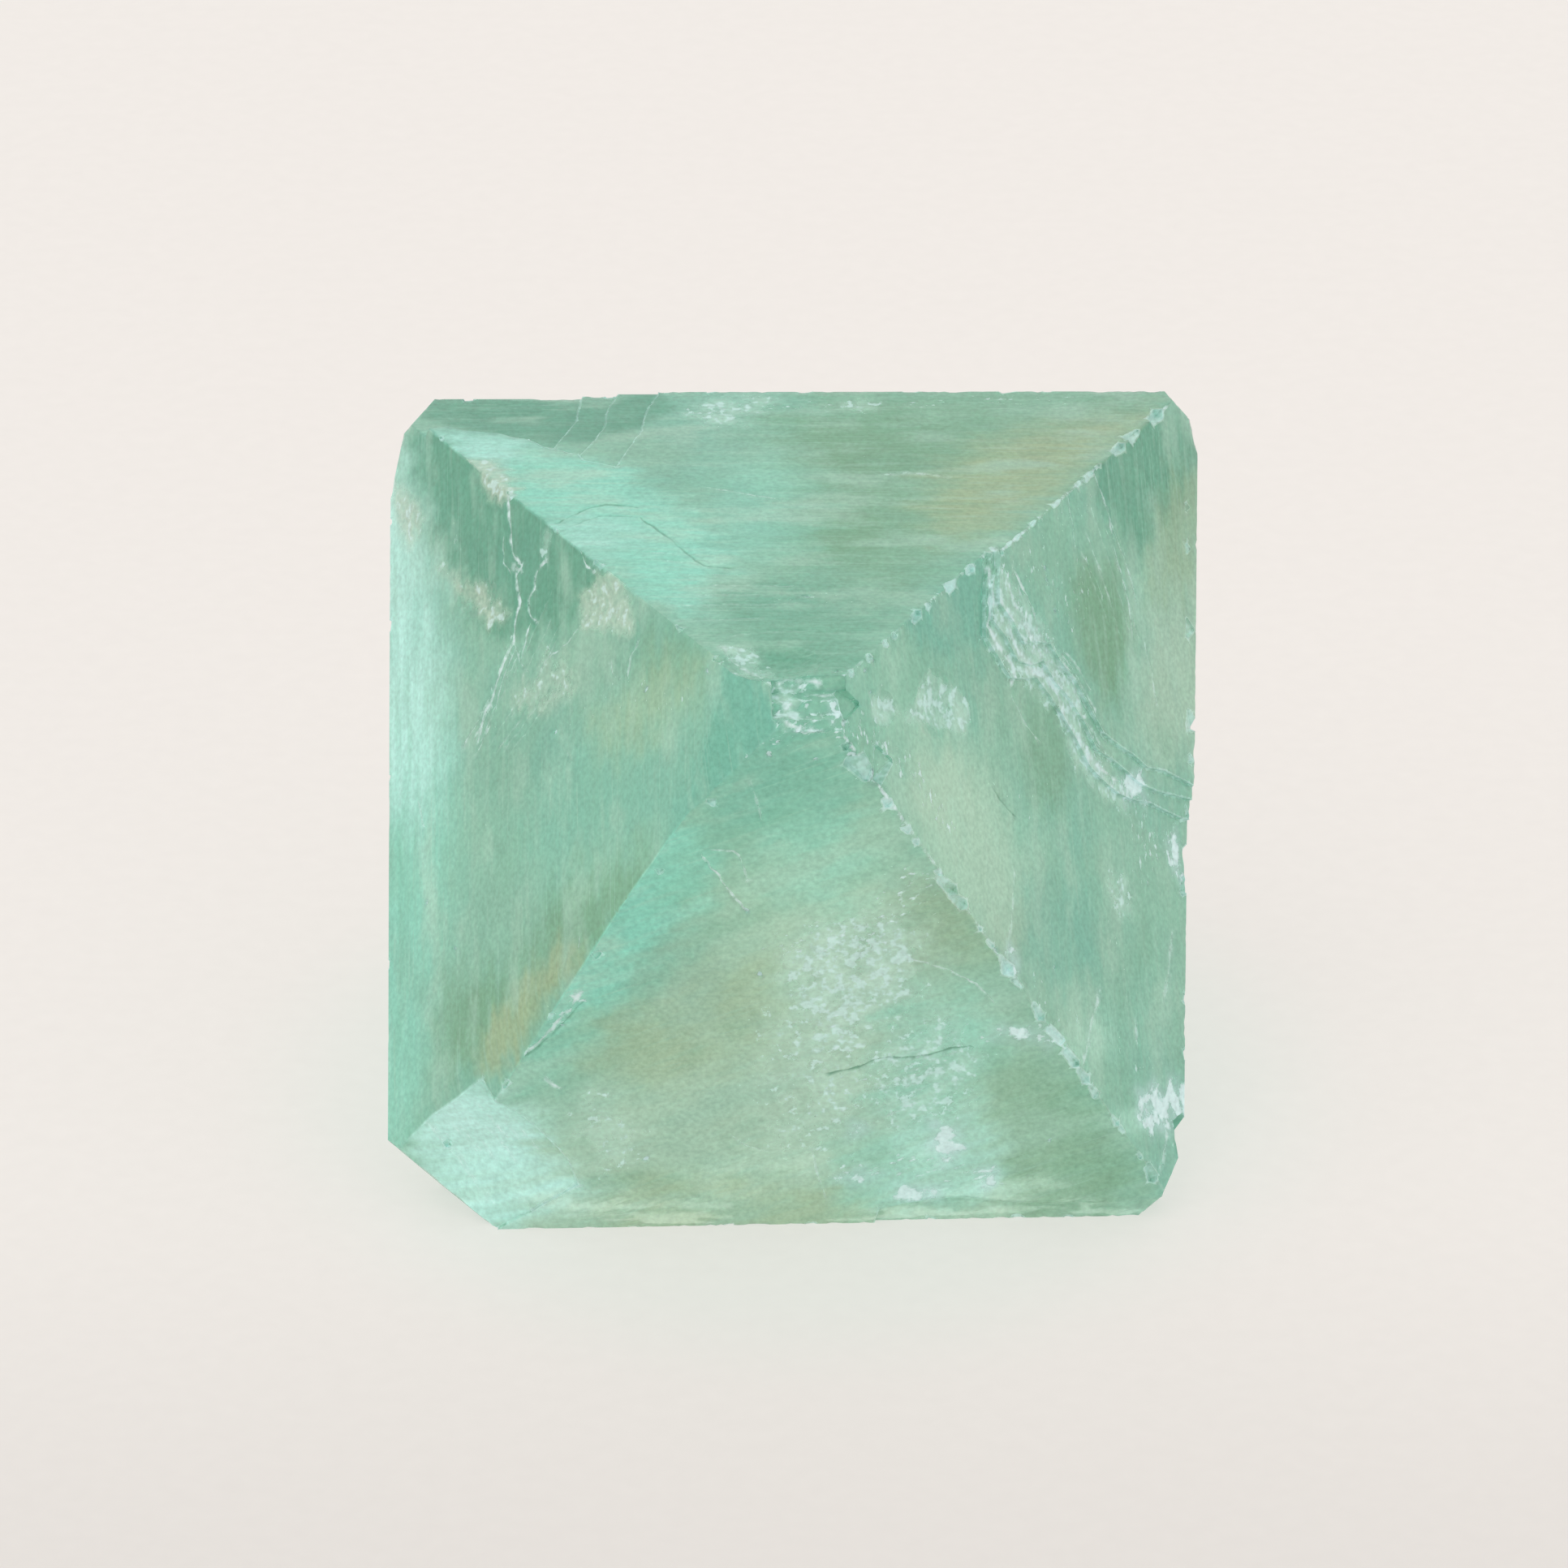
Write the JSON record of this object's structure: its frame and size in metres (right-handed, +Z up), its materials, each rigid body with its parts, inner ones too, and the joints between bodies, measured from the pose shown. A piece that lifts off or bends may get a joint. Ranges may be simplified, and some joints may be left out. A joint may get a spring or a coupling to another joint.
{
  "type": "fluorite octahedron",
  "caption": "Cleavage octahedron of pale green, cloudy see-through fluorite lying on one triangular face, with blunted corners, chipped edges and low broken ledges.",
  "frame": {"origin": "middle of the bounding box's underside, on the surface the stone rests on", "axes": "+Z up, square to the cleavage face the stone lies on; +X to the right and +Y away from the viewer, with a tip of the upper face pointing to -Y"},
  "size_m": [0.0384, 0.0412, 0.0315],
  "materials": {
    "fluorite": "pale green, cloudy, glassy cleavage faces with fine steps, whitish chipped edges and feathery cracks"
  },
  "bodies": {
    "root": {"fluorite_octahedron": "fluorite"}
  },
  "joints": []
}
